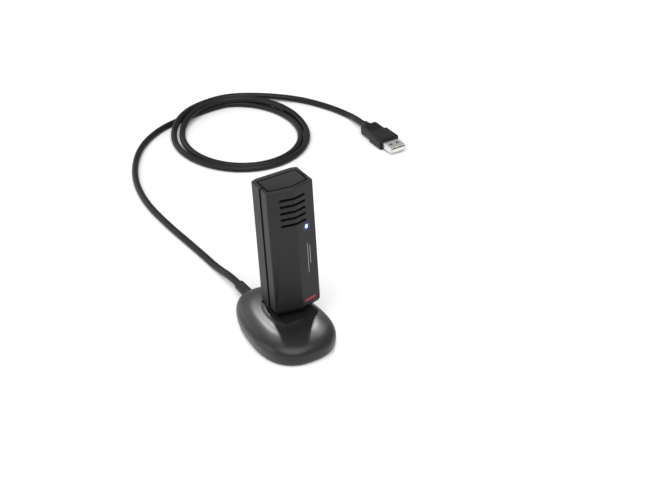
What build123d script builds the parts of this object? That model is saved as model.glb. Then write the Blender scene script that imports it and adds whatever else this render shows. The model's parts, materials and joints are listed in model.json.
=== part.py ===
from build123d import *
import math
import os

# USB wifi adapter standing in its corded dock, as an assembly of separate pieces.
# Units are millimetres. +Z is up and z = 0 is the table.
# The origin is the middle of the dock's footprint; the adapter's face looks to -Y.

# --- driving dimensions -------------------------------------------------------------

# dock: an egg-shaped pebble, wider at the front, flattened under its widest line
DOCK_HALF_WIDTH = 23.65
DOCK_HALF_LENGTH = 38.75
DOCK_TOP = 15.4
DOCK_WIDEST = 6.5
DOCK_BOTTOM = 0.5
DOCK_BASE_RATIO = 0.92
PLAN_POWER = 2.45
DOME_POWER = 2.55
EGG_TAPER = 0.13
OUTLINE_POINTS = 24
DOME_ANGLES = [18, 34, 48, 60, 70, 78]  # steps up the dome, in degrees of a quarter turn
DOCK_WALL = 2.0
BASE_THICK = 1.6

# adapter: an upright box with a shallow vee front and bevelled back corners
ADAPTER_X = 9.3
ADAPTER_Y = 6.0
ADAPTER_Z = 15.5
WIDTH = 30.0
HEIGHT = 82.0
FRONT_EDGE_Y = -9.9
RIDGE_X = 1.0
RIDGE_Y = -13.3
BACK_Y = 9.9
BEVEL_ACROSS = 3.5
BEVEL_DEEP = 1.4
PARTING_Y = -3.2
GROOVE_WIDTH = 1.2
GROOVE_DEPTH = 1.0
WALL = 1.8
BOTTOM_BEVEL_HIGH = 2.1
BOTTOM_BEVEL_ANGLE = 25
TOP_WALL = 2.6
EDGE_ROUND = 1.2

# seat cut into the dock, open on its right side where the dome falls below its floor
SEAT_FLOOR = 12.8
SEAT_WALL = 1.6
SEAT_LEFT_X = -14.8
SEAT_FRONT_Y = -20.6
SEAT_BACK_Y = 10.5

# standard-A connector
PLUG_WIDE = 12.0
PLUG_THICK = 4.5
PLUG_LONG = 11.75
PLUG_METAL = 0.35
SOCKET_PLAY = 0.075
SOCKET_METAL = 0.4
CONTACT_COUNT = 4
CONTACT_PITCH = 2.3
CONTACT_WIDE = 1.1
ADAPTER_PLUG_Y = 3.0

# lead
CORD_RADIUS = 2.25
BOOT_END_Y = 51.5
CORD_EXIT_X = -2.6
CORD_EXIT_Z = 6.3

# clearances between neighbouring pieces
FIT_GAP = 0.05
CORD_GAP = 0.02

os.makedirs("parts", exist_ok=True)


# --- outlines -----------------------------------------------------------------------

def egg_outline(half_width, half_length):
    """Points of the dock's plan: a superellipse that narrows towards the back."""
    points = []
    for step in range(OUTLINE_POINTS):
        turn = 2 * math.pi * step / OUTLINE_POINTS
        across = abs(math.cos(turn) / half_width) ** PLAN_POWER
        along = abs(math.sin(turn) / half_length) ** PLAN_POWER
        reach = (across + along) ** (-1 / PLAN_POWER)
        y = reach * math.sin(turn)
        x = reach * math.cos(turn) * (1 - EGG_TAPER * y / half_length)
        points.append((x, y))
    return points


def dome_ratio(z, top):
    """How much of its widest outline the dock has at a height."""
    if z < DOCK_WIDEST:
        below = (DOCK_WIDEST - z) / DOCK_WIDEST
        return DOCK_BASE_RATIO + (1 - DOCK_BASE_RATIO) * math.sqrt(max(1 - below * below, 0))
    above = (z - DOCK_WIDEST) / (top - DOCK_WIDEST)
    return (1 - above ** DOME_POWER) ** (1 / DOME_POWER)


def dome_levels(top):
    """Heights of the lofted outlines, closer together where the dome turns over."""
    levels = [DOCK_BOTTOM, DOCK_WIDEST / 2, DOCK_WIDEST]
    for angle in DOME_ANGLES:
        rise = math.sin(math.radians(angle)) ** (2 / DOME_POWER)
        levels.append(DOCK_WIDEST + (top - DOCK_WIDEST) * rise)
    return levels


def dock_outline(z, inset=0.0):
    """The dock's outline at a height, or that of a shell inside it."""
    ratio = dome_ratio(z, DOCK_TOP - inset)
    return egg_outline((DOCK_HALF_WIDTH - inset) * ratio, (DOCK_HALF_LENGTH - inset) * ratio)


def adapter_plan(points):
    """Plan points given from the adapter's own centre."""
    return [(ADAPTER_X + x, ADAPTER_Y + y) for x, y in points]


def wall_plane(y):
    """An upright plane facing the front, at a depth given from the adapter's centre."""
    return Plane.XZ.offset(-(ADAPTER_Y + y))


ADAPTER_TOP = ADAPTER_Z + HEIGHT
ADAPTER_OUTLINE = adapter_plan([
    (-WIDTH / 2, FRONT_EDGE_Y),
    (RIDGE_X, RIDGE_Y),
    (WIDTH / 2, FRONT_EDGE_Y),
    (WIDTH / 2, BACK_Y - BEVEL_DEEP),
    (WIDTH / 2 - BEVEL_ACROSS, BACK_Y),
    (-WIDTH / 2 + BEVEL_ACROSS, BACK_Y),
    (-WIDTH / 2, BACK_Y - BEVEL_DEEP),
])

# --- dock shell ---------------------------------------------------------------------

BASE_TOP = DOCK_BOTTOM + BASE_THICK
BOSS_RADIUS = 2.6
BOSS_SPOTS = [(-15, -18), (15, -18), (-12.5, 21.5), (12.5, 21.5)]
BASE_SCREW_HOLE = 1.2
PILOT_RADIUS = 0.9
PILOT_DEEP = 5.5
BOOT_RADIUS = 3.45
SEAT_POINTS = adapter_plan([
    (SEAT_LEFT_X, SEAT_BACK_Y),
    (SEAT_LEFT_X, SEAT_FRONT_Y),
    (WIDTH, SEAT_FRONT_Y),
    (WIDTH, SEAT_BACK_Y),
])
BEZEL_WIDE = 16.6
BEZEL_DEEP = 9.0
BEZEL_PLAY = 0.1
BEZEL_BOTTOM = SEAT_FLOOR - SEAT_WALL - 0.9
SOCKET_X = ADAPTER_X
SOCKET_Y = ADAPTER_Y + ADAPTER_PLUG_Y

with BuildPart() as dock_cavity:
    for level in dome_levels(DOCK_TOP - DOCK_WALL):
        with BuildSketch(Plane.XY.offset(level)):
            with BuildLine():
                Spline(*dock_outline(level, DOCK_WALL), periodic=True)
            make_face()
    loft()
    with BuildSketch(Plane.XY.offset(SEAT_FLOOR - SEAT_WALL)):
        with BuildLine():
            Polyline(*SEAT_POINTS, close=True)
        make_face()
        offset(amount=SEAT_WALL, kind=Kind.INTERSECTION)
    extrude(amount=DOCK_TOP, mode=Mode.SUBTRACT)
    with BuildSketch(Plane.XY.offset(BASE_TOP + FIT_GAP)):
        with Locations(*BOSS_SPOTS):
            Circle(BOSS_RADIUS)
    extrude(amount=DOCK_TOP, mode=Mode.SUBTRACT)

with BuildPart() as dock_shell:
    for level in dome_levels(DOCK_TOP):
        with BuildSketch(Plane.XY.offset(level)):
            with BuildLine():
                Spline(*dock_outline(level), periodic=True)
            make_face()
    loft()
    add(dock_cavity.part, mode=Mode.SUBTRACT)
    with BuildSketch(Plane.XY.offset(SEAT_FLOOR)):
        with BuildLine():
            Polyline(*SEAT_POINTS, close=True)
        make_face()
    extrude(amount=DOCK_TOP, mode=Mode.SUBTRACT)
    with BuildSketch(Plane.XY.offset(BEZEL_BOTTOM - BEZEL_PLAY)):
        with Locations((SOCKET_X, SOCKET_Y)):
            Rectangle(BEZEL_WIDE + 2 * BEZEL_PLAY, BEZEL_DEEP + 2 * BEZEL_PLAY)
    extrude(amount=DOCK_WALL * 3, mode=Mode.SUBTRACT)
    with BuildSketch(Plane.XY.offset(BASE_TOP)):
        with Locations(*BOSS_SPOTS):
            Circle(PILOT_RADIUS)
    extrude(amount=PILOT_DEEP, mode=Mode.SUBTRACT)
    with BuildSketch(Plane.XZ.offset(-DOCK_HALF_LENGTH / 2)):
        with Locations((CORD_EXIT_X, CORD_EXIT_Z)):
            Circle(BOOT_RADIUS + FIT_GAP)
    extrude(amount=-DOCK_HALF_LENGTH, mode=Mode.SUBTRACT)
dock_shell.part.label = "dock_shell"
export_step(dock_shell.part, "parts/dock_shell.step")

# --- dock base, feet and ballast ----------------------------------------------------

BASE_PLAY = 0.3
FOOT_SPOTS = [(-11, -27), (11, -27), (-6.5, 26.5), (6.5, 26.5)]
FOOT_RADIUS = 3.5
FOOT_HIGH = 1.0
COUNTERBORE_RADIUS = 2.3
COUNTERBORE_DEEP = 0.9
PEG_SPOTS = [(0.4, 0.2), (17.0, 0.2), (17.0, 15.6)]
PEG_RADIUS = 0.6
PEG_SHOULDER = 0.7
PEG_ABOVE_BOARD = 0.4
BOARD_BOTTOM = 2.3
BOARD_THICK = 1.0
CLAMP_Y = 29.0
CLAMP_DEEP = 4.0
CLAMP_LONG = 13.6
CLAMP_SCREW_APART = 4.9
CLAMP_PILOT_RADIUS = 0.7
CLAMP_PILOT_DEEP = 3.4
SADDLE_TOP = CORD_EXIT_Z - 0.1

with BuildPart() as base_plate:
    with BuildSketch(Plane.XY.offset(DOCK_BOTTOM)):
        with BuildLine():
            Spline(*dock_outline(DOCK_BOTTOM, DOCK_WALL + BASE_PLAY), periodic=True)
        make_face()
    extrude(amount=BASE_THICK)
    with BuildSketch(Plane.XY.offset(DOCK_BOTTOM)):
        with Locations(*FOOT_SPOTS):
            Circle(FOOT_RADIUS + FIT_GAP)
    extrude(amount=FOOT_HIGH - DOCK_BOTTOM, mode=Mode.SUBTRACT)
    with BuildSketch(Plane.XY.offset(DOCK_BOTTOM)):
        with Locations(*BOSS_SPOTS):
            Circle(COUNTERBORE_RADIUS)
    extrude(amount=COUNTERBORE_DEEP, mode=Mode.SUBTRACT)
    with BuildSketch(Plane.XY.offset(DOCK_BOTTOM)):
        with Locations(*BOSS_SPOTS):
            Circle(BASE_SCREW_HOLE)
    extrude(amount=BASE_THICK, mode=Mode.SUBTRACT)
    with BuildSketch(Plane.XY.offset(BASE_TOP)):
        with Locations(*PEG_SPOTS):
            Circle(PEG_RADIUS + PEG_SHOULDER)
    extrude(amount=BOARD_BOTTOM - BASE_TOP)
    with BuildSketch(Plane.XY.offset(BASE_TOP)):
        with Locations(*PEG_SPOTS):
            Circle(PEG_RADIUS)
    extrude(amount=BOARD_BOTTOM + BOARD_THICK + PEG_ABOVE_BOARD - BASE_TOP)
    with BuildSketch(Plane.XY.offset(BASE_TOP)):
        with Locations((CORD_EXIT_X, CLAMP_Y)):
            Rectangle(CLAMP_LONG, CLAMP_DEEP)
    extrude(amount=SADDLE_TOP - BASE_TOP)
    with BuildSketch(Plane.XZ.offset(-CLAMP_Y)):
        with Locations((CORD_EXIT_X, CORD_EXIT_Z)):
            Circle(CORD_RADIUS + CORD_GAP)
    extrude(amount=CLAMP_DEEP, both=True, mode=Mode.SUBTRACT)
    with BuildSketch(Plane.XY.offset(SADDLE_TOP)):
        with Locations((CORD_EXIT_X, CLAMP_Y)):
            with GridLocations(2 * CLAMP_SCREW_APART, 1, 2, 1):
                Circle(CLAMP_PILOT_RADIUS)
    extrude(amount=-CLAMP_PILOT_DEEP, mode=Mode.SUBTRACT)
base_plate.part.label = "base_plate"
export_step(base_plate.part, "parts/base_plate.step")

with BuildPart() as rubber_feet:
    with BuildSketch():
        with Locations(*FOOT_SPOTS):
            Circle(FOOT_RADIUS)
    extrude(amount=FOOT_HIGH)
    fillet(rubber_feet.edges().group_by(Axis.Z)[0], radius=0.25)
rubber_feet.part.label = "rubber_feet"
export_step(rubber_feet.part, "parts/rubber_feet.step")

BASE_HEAD_BOTTOM = DOCK_BOTTOM + 0.1
BASE_HEAD_RADIUS = 2.0
BASE_SCREW_LONG = 6.0
CROSS_LONG = 2.2
CROSS_WIDE = 0.5

with BuildPart() as base_screws:
    with BuildSketch(Plane.XY.offset(BASE_HEAD_BOTTOM)):
        with Locations(*BOSS_SPOTS):
            Circle(BASE_HEAD_RADIUS)
    extrude(amount=COUNTERBORE_DEEP - 0.1)
    with BuildSketch(Plane.XY.offset(BASE_HEAD_BOTTOM)):
        with Locations(*BOSS_SPOTS):
            Circle(PILOT_RADIUS - CORD_GAP)
    extrude(amount=BASE_SCREW_LONG)
    with BuildSketch(Plane.XY.offset(BASE_HEAD_BOTTOM)):
        with Locations(*BOSS_SPOTS):
            Rectangle(CROSS_LONG, CROSS_WIDE)
            Rectangle(CROSS_WIDE, CROSS_LONG)
    extrude(amount=CROSS_WIDE, mode=Mode.SUBTRACT)
base_screws.part.label = "base_screws"
export_step(base_screws.part, "parts/base_screws.step")

BALLAST_Y = -19.5
BALLAST_WIDE = 21.0
BALLAST_LONG = 22.0
BALLAST_HIGH = 5.5

with BuildPart() as ballast_weight:
    with BuildSketch(Plane.XY.offset(BASE_TOP)):
        with Locations((0, BALLAST_Y)):
            RectangleRounded(BALLAST_WIDE, BALLAST_LONG, 3)
    extrude(amount=BALLAST_HIGH)
    chamfer(ballast_weight.edges().group_by(Axis.Z)[-1], length=0.5)
ballast_weight.part.label = "ballast_weight"
export_step(ballast_weight.part, "parts/ballast_weight.step")

# --- dock socket and board ----------------------------------------------------------

SOCKET_WIDE = PLUG_WIDE + 2 * SOCKET_PLAY
SOCKET_THICK = PLUG_THICK + 2 * SOCKET_PLAY
SOCKET_OUTSIDE_WIDE = SOCKET_WIDE + 2 * SOCKET_METAL
SOCKET_OUTSIDE_THICK = SOCKET_THICK + 2 * SOCKET_METAL
SOCKET_FOOT = BOARD_BOTTOM + BOARD_THICK
SOCKET_FLOOR_THICK = 0.4
SOCKET_MOUTH = 14.6
BEZEL_TOP = ADAPTER_Z - 0.1
BEZEL_HOLE_PLAY = 0.2
BEZEL_FLANGE_WIDE = 12.6
BEZEL_FLANGE_DEEP = 10.8
BEZEL_FLANGE_THICK = 0.85
TONGUE_WIDE = 11.0
TONGUE_LONG = 9.2
SOCKET_CONTACT_LONG = 8.0
SOCKET_TONGUE_FRONT = -1.6
SOCKET_TONGUE_BACK = -0.5
SOCKET_CONTACT_BACK = -0.2

with BuildPart() as socket_bezel:
    with BuildSketch(Plane.XY.offset(BEZEL_BOTTOM)):
        with Locations((SOCKET_X, SOCKET_Y)):
            Rectangle(BEZEL_FLANGE_WIDE, BEZEL_FLANGE_DEEP)
    extrude(amount=BEZEL_FLANGE_THICK)
    with BuildSketch(Plane.XY.offset(BEZEL_BOTTOM)):
        with Locations((SOCKET_X, SOCKET_Y)):
            Rectangle(BEZEL_WIDE, BEZEL_DEEP)
    extrude(amount=BEZEL_TOP - BEZEL_BOTTOM)
    chamfer(socket_bezel.edges().group_by(Axis.Z)[-1], length=0.5)
    with BuildSketch(Plane.XY.offset(BEZEL_BOTTOM)):
        with Locations((SOCKET_X, SOCKET_Y)):
            Rectangle(SOCKET_WIDE + 2 * BEZEL_HOLE_PLAY, SOCKET_THICK + 2 * BEZEL_HOLE_PLAY)
    extrude(amount=DOCK_TOP, mode=Mode.SUBTRACT)
    with BuildSketch(Plane.XY.offset(BEZEL_BOTTOM)):
        with Locations((SOCKET_X, SOCKET_Y)):
            Rectangle(SOCKET_OUTSIDE_WIDE + 2 * FIT_GAP, SOCKET_OUTSIDE_THICK + 2 * FIT_GAP)
    extrude(amount=SOCKET_MOUTH - BEZEL_BOTTOM + FIT_GAP, mode=Mode.SUBTRACT)
socket_bezel.part.label = "socket_bezel"
export_step(socket_bezel.part, "parts/socket_bezel.step")

with BuildPart() as socket_shell:
    with BuildSketch(Plane.XY.offset(SOCKET_FOOT)):
        with Locations((SOCKET_X, SOCKET_Y)):
            Rectangle(SOCKET_OUTSIDE_WIDE, SOCKET_OUTSIDE_THICK)
            Rectangle(SOCKET_WIDE, SOCKET_THICK, mode=Mode.SUBTRACT)
    extrude(amount=SOCKET_MOUTH - SOCKET_FOOT)
socket_shell.part.label = "socket_shell"
export_step(socket_shell.part, "parts/socket_shell.step")

with BuildPart() as socket_tongue:
    with BuildSketch(Plane.XY.offset(SOCKET_FOOT)):
        with Locations((SOCKET_X, SOCKET_Y)):
            Rectangle(SOCKET_WIDE - FIT_GAP, SOCKET_THICK - FIT_GAP)
    extrude(amount=SOCKET_FLOOR_THICK)
    with BuildSketch(Plane.XY.offset(SOCKET_FOOT)):
        with Locations((SOCKET_X, SOCKET_Y + (SOCKET_TONGUE_FRONT + SOCKET_TONGUE_BACK) / 2)):
            Rectangle(TONGUE_WIDE, SOCKET_TONGUE_BACK - SOCKET_TONGUE_FRONT)
    extrude(amount=TONGUE_LONG)
    chamfer(socket_tongue.edges().group_by(Axis.Z)[-1], length=0.25)
socket_tongue.part.label = "socket_tongue"
export_step(socket_tongue.part, "parts/socket_tongue.step")

with BuildPart() as socket_contacts:
    with BuildSketch(Plane.XY.offset(SOCKET_FOOT + SOCKET_FLOOR_THICK)):
        with Locations((SOCKET_X, SOCKET_Y + (SOCKET_TONGUE_BACK + SOCKET_CONTACT_BACK) / 2)):
            with GridLocations(CONTACT_PITCH, 1, CONTACT_COUNT, 1):
                Rectangle(CONTACT_WIDE, SOCKET_CONTACT_BACK - SOCKET_TONGUE_BACK)
    extrude(amount=SOCKET_CONTACT_LONG)
socket_contacts.part.label = "socket_contacts"
export_step(socket_contacts.part, "parts/socket_contacts.step")

with BuildPart() as dock_board:
    with BuildSketch(Plane.XY.offset(BOARD_BOTTOM)):
        with Locations((8.5, 8.0)):
            RectangleRounded(19.0, 20.0, 1.0)
        with Locations(*PEG_SPOTS):
            Circle(PEG_RADIUS + FIT_GAP, mode=Mode.SUBTRACT)
    extrude(amount=BOARD_THICK)
dock_board.part.label = "dock_board"
export_step(dock_board.part, "parts/dock_board.step")

# --- lead inside the dock -----------------------------------------------------------

BOOT_FLANGE_RADIUS = 4.05
BOOT_FLANGE_FRONT = 32.0
BOOT_FLANGE_BACK = 33.4
BOOT_TIP_RADIUS = 3.25
BOOT_LIP = 0.55
TAIL_FRONT_Y = 25.0
WIRE_RADIUS = 0.4
WIRE_OFFSETS = [-1.2, 0.0, 1.2]
WIRE_LOW_Z = SOCKET_FOOT + WIRE_RADIUS + 0.02

with BuildPart() as cord_boot:
    with BuildSketch(Plane.YZ.offset(CORD_EXIT_X)):
        with BuildLine():
            Polyline(
                (BOOT_FLANGE_FRONT, CORD_EXIT_Z + CORD_RADIUS),
                (BOOT_FLANGE_FRONT, CORD_EXIT_Z + BOOT_FLANGE_RADIUS),
                (BOOT_FLANGE_BACK, CORD_EXIT_Z + BOOT_FLANGE_RADIUS),
                (BOOT_FLANGE_BACK, CORD_EXIT_Z + BOOT_RADIUS),
                (DOCK_HALF_LENGTH + 1.0, CORD_EXIT_Z + BOOT_RADIUS),
                (BOOT_END_Y - BOOT_LIP, CORD_EXIT_Z + BOOT_TIP_RADIUS),
                (BOOT_END_Y, CORD_EXIT_Z + BOOT_TIP_RADIUS - BOOT_LIP),
                (BOOT_END_Y, CORD_EXIT_Z + CORD_RADIUS),
                close=True,
            )
        make_face()
    revolve(axis=Axis((CORD_EXIT_X, 0, CORD_EXIT_Z), (0, 1, 0)))
cord_boot.part.label = "cord_boot"
export_step(cord_boot.part, "parts/cord_boot.step")

with BuildPart() as cord_tail:
    with BuildSketch(Plane.XZ.offset(-TAIL_FRONT_Y)):
        with Locations((CORD_EXIT_X, CORD_EXIT_Z)):
            Circle(CORD_RADIUS)
    extrude(amount=-(BOOT_END_Y - TAIL_FRONT_Y))
cord_tail.part.label = "cord_tail"
export_step(cord_tail.part, "parts/cord_tail.step")

with BuildPart() as cord_wires:
    for offset_x in WIRE_OFFSETS:
        with BuildLine() as wire_path:
            FilletPolyline(
                (CORD_EXIT_X + offset_x, TAIL_FRONT_Y, CORD_EXIT_Z),
                (CORD_EXIT_X + offset_x, TAIL_FRONT_Y - 3.0, CORD_EXIT_Z),
                (CORD_EXIT_X + offset_x + 3.4, TAIL_FRONT_Y - 7.6, WIRE_LOW_Z),
                (CORD_EXIT_X + offset_x + 3.4, TAIL_FRONT_Y - 10.5, WIRE_LOW_Z),
                radius=1.2,
            )
        with BuildSketch(Plane(wire_path.line @ 0, z_dir=wire_path.line % 0)):
            Circle(WIRE_RADIUS)
        sweep(path=wire_path.line)
cord_wires.part.label = "cord_wires"
export_step(cord_wires.part, "parts/cord_wires.step")

CLAMP_BAR_BOTTOM = SADDLE_TOP + 0.2
CLAMP_BAR_THICK = 2.8
CLAMP_HOLE_RADIUS = 0.95
CLAMP_HEAD_RADIUS = 1.6
CLAMP_HEAD_HIGH = 0.9
CLAMP_SHANK_LONG = 6.2
SLOT_WIDE = 0.4
SLOT_DEEP = 0.5

with BuildPart() as cord_clamp:
    with BuildSketch(Plane.XY.offset(CLAMP_BAR_BOTTOM)):
        with Locations((CORD_EXIT_X, CLAMP_Y)):
            RectangleRounded(CLAMP_LONG, CLAMP_DEEP, 0.8)
            with GridLocations(2 * CLAMP_SCREW_APART, 1, 2, 1):
                Circle(CLAMP_HOLE_RADIUS, mode=Mode.SUBTRACT)
    extrude(amount=CLAMP_BAR_THICK)
    with BuildSketch(Plane.XZ.offset(-CLAMP_Y)):
        with Locations((CORD_EXIT_X, CORD_EXIT_Z)):
            Circle(CORD_RADIUS + CORD_GAP)
    extrude(amount=CLAMP_DEEP, both=True, mode=Mode.SUBTRACT)
cord_clamp.part.label = "cord_clamp"
export_step(cord_clamp.part, "parts/cord_clamp.step")

with BuildPart() as clamp_screws:
    with BuildSketch(Plane.XY.offset(CLAMP_BAR_BOTTOM + CLAMP_BAR_THICK)):
        with Locations((CORD_EXIT_X, CLAMP_Y)):
            with GridLocations(2 * CLAMP_SCREW_APART, 1, 2, 1):
                Circle(CLAMP_HEAD_RADIUS)
    extrude(amount=CLAMP_HEAD_HIGH)
    with BuildSketch(Plane.XY.offset(CLAMP_BAR_BOTTOM + CLAMP_BAR_THICK)):
        with Locations((CORD_EXIT_X, CLAMP_Y)):
            with GridLocations(2 * CLAMP_SCREW_APART, 1, 2, 1):
                Circle(CLAMP_PILOT_RADIUS - CORD_GAP)
    extrude(amount=-CLAMP_SHANK_LONG)
    with BuildSketch(Plane.XY.offset(CLAMP_BAR_BOTTOM + CLAMP_BAR_THICK + CLAMP_HEAD_HIGH)):
        with Locations((CORD_EXIT_X, CLAMP_Y)):
            with GridLocations(2 * CLAMP_SCREW_APART, 1, 2, 1):
                Rectangle(1.5 * CLAMP_HEAD_RADIUS, SLOT_WIDE)
    extrude(amount=-SLOT_DEEP, mode=Mode.SUBTRACT)
clamp_screws.part.label = "clamp_screws"
export_step(clamp_screws.part, "parts/clamp_screws.step")

# --- adapter shells -----------------------------------------------------------------

VENT_COUNT = 5
VENT_PITCH = 4.15
VENT_TOP_HEIGHT = 75.5
VENT_LONG = 16.3
VENT_HIGH = 1.6
VENT_X = 0.2
LAMP_X = 8.0
LAMP_HEIGHT = 54.2
LAMP_LONG = 2.7
LAMP_WIDE = 1.7
PLATE_HALF = 12.2
PLATE_FRONT = -7.5
PLATE_RIDGE = -9.9
PLATE_BACK = 5.4
PLATE_THICK = 1.2
PLATE_PLAY = 0.35
PLATE_GAP = 0.1
CUT_START_Y = -15.0
VENT_CUT = 7.0
LAMP_CUT = 8.0
LAMP_PLAY = 0.03
BOARD_SCREW_SPOTS = [(-9.0, 14.0), (9.0, 34.0)]
BOARD_FRONT = 1.6
MAIN_BOARD_THICK = 1.2
BOARD_POST_RADIUS = 2.1
BOARD_PILOT_RADIUS = 0.8
PLATE_POINTS = [
    (ADAPTER_X - PLATE_HALF, ADAPTER_Y + PLATE_BACK),
    (ADAPTER_X - PLATE_HALF, ADAPTER_Y + PLATE_FRONT),
    (ADAPTER_X + RIDGE_X, ADAPTER_Y + PLATE_RIDGE),
    (ADAPTER_X + PLATE_HALF, ADAPTER_Y + PLATE_FRONT),
    (ADAPTER_X + PLATE_HALF, ADAPTER_Y + PLATE_BACK),
]

with BuildPart() as adapter_block:
    with BuildSketch(Plane.XY.offset(ADAPTER_Z + BOTTOM_BEVEL_HIGH)) as upper_plan:
        with BuildLine():
            Polyline(*ADAPTER_OUTLINE, close=True)
        make_face()
        fillet(upper_plan.vertices(), radius=EDGE_ROUND)
    extrude(amount=HEIGHT - BOTTOM_BEVEL_HIGH)
    chamfer(adapter_block.edges().group_by(Axis.Z)[-1], length=0.3)
    with BuildSketch(Plane.XY.offset(ADAPTER_Z + BOTTOM_BEVEL_HIGH)) as lower_plan:
        with BuildLine():
            Polyline(*ADAPTER_OUTLINE, close=True)
        make_face()
        fillet(lower_plan.vertices(), radius=EDGE_ROUND)
    extrude(amount=-BOTTOM_BEVEL_HIGH, taper=BOTTOM_BEVEL_ANGLE)

with BuildPart() as adapter_hollow:
    with BuildSketch(Plane.XY.offset(ADAPTER_Z + WALL)):
        with BuildLine():
            Polyline(*ADAPTER_OUTLINE, close=True)
        make_face()
        offset(amount=-WALL, kind=Kind.INTERSECTION)
    extrude(amount=HEIGHT - WALL - TOP_WALL)

with BuildPart() as front_region:
    with BuildSketch():
        with Locations((ADAPTER_X, ADAPTER_Y + PARTING_Y - WIDTH / 2)):
            Rectangle(2 * WIDTH, WIDTH)
    extrude(amount=2 * HEIGHT)

with BuildPart() as groove_region:
    with BuildSketch():
        with Locations((ADAPTER_X, ADAPTER_Y + PARTING_Y + GROOVE_WIDTH / 2)):
            Rectangle(2 * WIDTH, GROOVE_WIDTH)
    extrude(amount=2 * HEIGHT)

with BuildPart() as adapter_lip:
    with BuildSketch(Plane.XY.offset(ADAPTER_Z + GROOVE_DEPTH)):
        with BuildLine():
            Polyline(*ADAPTER_OUTLINE, close=True)
        make_face()
        offset(amount=-GROOVE_DEPTH, kind=Kind.INTERSECTION)
    extrude(amount=HEIGHT - 2 * GROOVE_DEPTH)
    add(groove_region.part, mode=Mode.INTERSECT)

with BuildPart() as plate_recess:
    with BuildSketch(Plane.XY.offset(ADAPTER_TOP - PLATE_THICK - PLATE_GAP)):
        with BuildLine():
            Polyline(*PLATE_POINTS, close=True)
        make_face()
        offset(amount=PLATE_PLAY, kind=Kind.INTERSECTION)
    extrude(amount=2 * PLATE_THICK)

with BuildPart() as front_shell:
    add(adapter_block.part)
    add(front_region.part, mode=Mode.INTERSECT)
    add(adapter_hollow.part, mode=Mode.SUBTRACT)
    add(plate_recess.part, mode=Mode.SUBTRACT)
    for step in range(VENT_COUNT):
        vent_height = ADAPTER_Z + VENT_TOP_HEIGHT - VENT_PITCH * step
        with BuildSketch(wall_plane(CUT_START_Y)):
            with Locations((ADAPTER_X + VENT_X, vent_height)):
                RectangleRounded(VENT_LONG, VENT_HIGH, 0.3)
        extrude(amount=-VENT_CUT, mode=Mode.SUBTRACT)
    with BuildSketch(wall_plane(CUT_START_Y)):
        with Locations((ADAPTER_X + LAMP_X, ADAPTER_Z + LAMP_HEIGHT)):
            SlotOverall(LAMP_LONG + 2 * LAMP_PLAY, LAMP_WIDE + 2 * LAMP_PLAY, rotation=90)
    extrude(amount=-LAMP_CUT, mode=Mode.SUBTRACT)
front_shell.part.label = "front_shell"
export_step(front_shell.part, "parts/front_shell.step")

with BuildPart() as rear_shell:
    add(adapter_block.part)
    add(front_region.part, mode=Mode.SUBTRACT)
    add(groove_region.part, mode=Mode.SUBTRACT)
    add(adapter_lip.part)
    add(adapter_hollow.part, mode=Mode.SUBTRACT)
    add(plate_recess.part, mode=Mode.SUBTRACT)
    with BuildSketch(Plane.XY.offset(ADAPTER_Z - WALL)):
        with Locations((ADAPTER_X, ADAPTER_Y + ADAPTER_PLUG_Y)):
            Rectangle(PLUG_WIDE + 2 * FIT_GAP, PLUG_THICK + 2 * FIT_GAP)
    extrude(amount=3 * WALL, mode=Mode.SUBTRACT)
    for spot_x, spot_height in BOARD_SCREW_SPOTS:
        with BuildSketch(wall_plane(BACK_Y - WALL / 2)):
            with Locations((ADAPTER_X + spot_x, ADAPTER_Z + spot_height)):
                Circle(BOARD_POST_RADIUS)
        extrude(amount=BACK_Y - WALL / 2 - BOARD_FRONT - MAIN_BOARD_THICK)
        with BuildSketch(wall_plane(BACK_Y - WALL)):
            with Locations((ADAPTER_X + spot_x, ADAPTER_Z + spot_height)):
                Circle(BOARD_PILOT_RADIUS)
        extrude(amount=WIDTH, mode=Mode.SUBTRACT)
rear_shell.part.label = "rear_shell"
export_step(rear_shell.part, "parts/rear_shell.step")

with BuildPart() as top_plate:
    with BuildSketch(Plane.XY.offset(ADAPTER_TOP - PLATE_THICK)) as plate_plan:
        with BuildLine():
            Polyline(*PLATE_POINTS, close=True)
        make_face()
        fillet(plate_plan.vertices(), radius=0.5)
    extrude(amount=PLATE_THICK)
    chamfer(top_plate.edges().group_by(Axis.Z)[-1], length=0.15)
top_plate.part.label = "top_plate"
export_step(top_plate.part, "parts/top_plate.step")

# --- adapter lamp, board and radio --------------------------------------------------

LAMP_FACE_Y = -11.6
LAMP_BACK_Y = -3.0
BOARD_HALF = 12.4
BOARD_LOW = 5.4
BOARD_HIGH = 77.0
CHIP_HEIGHT = 66.5
COOLER_HALF = 10.6
COOLER_LOW = 57.2
COOLER_HIGH = 77.0
COOLER_BASE = 1.4
FIN_COUNT = 6
FIN_PITCH = 3.8
FIN_THICK = 0.9
FIN_DEEP = 2.6
CAN_HALF = 9.0
CAN_DEEP = 2.4
PAD_THICK = 0.8
LED_BASE_THICK = 0.8
LED_LENS_RADIUS = 0.6
LED_LENS_HIGH = 0.4
BOARD_HEAD_RADIUS = 1.8
BOARD_HEAD_HIGH = 0.8
BOARD_SHANK_LONG = 5.0

with BuildPart() as light_pipe:
    with BuildSketch(wall_plane(LAMP_FACE_Y)):
        with Locations((ADAPTER_X + LAMP_X, ADAPTER_Z + LAMP_HEIGHT)):
            SlotOverall(LAMP_LONG, LAMP_WIDE, rotation=90)
    extrude(amount=-(LAMP_BACK_Y - LAMP_FACE_Y))
    fillet(light_pipe.edges().group_by(Axis.Y)[0], radius=0.25)
light_pipe.part.label = "light_pipe"
export_step(light_pipe.part, "parts/light_pipe.step")

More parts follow.
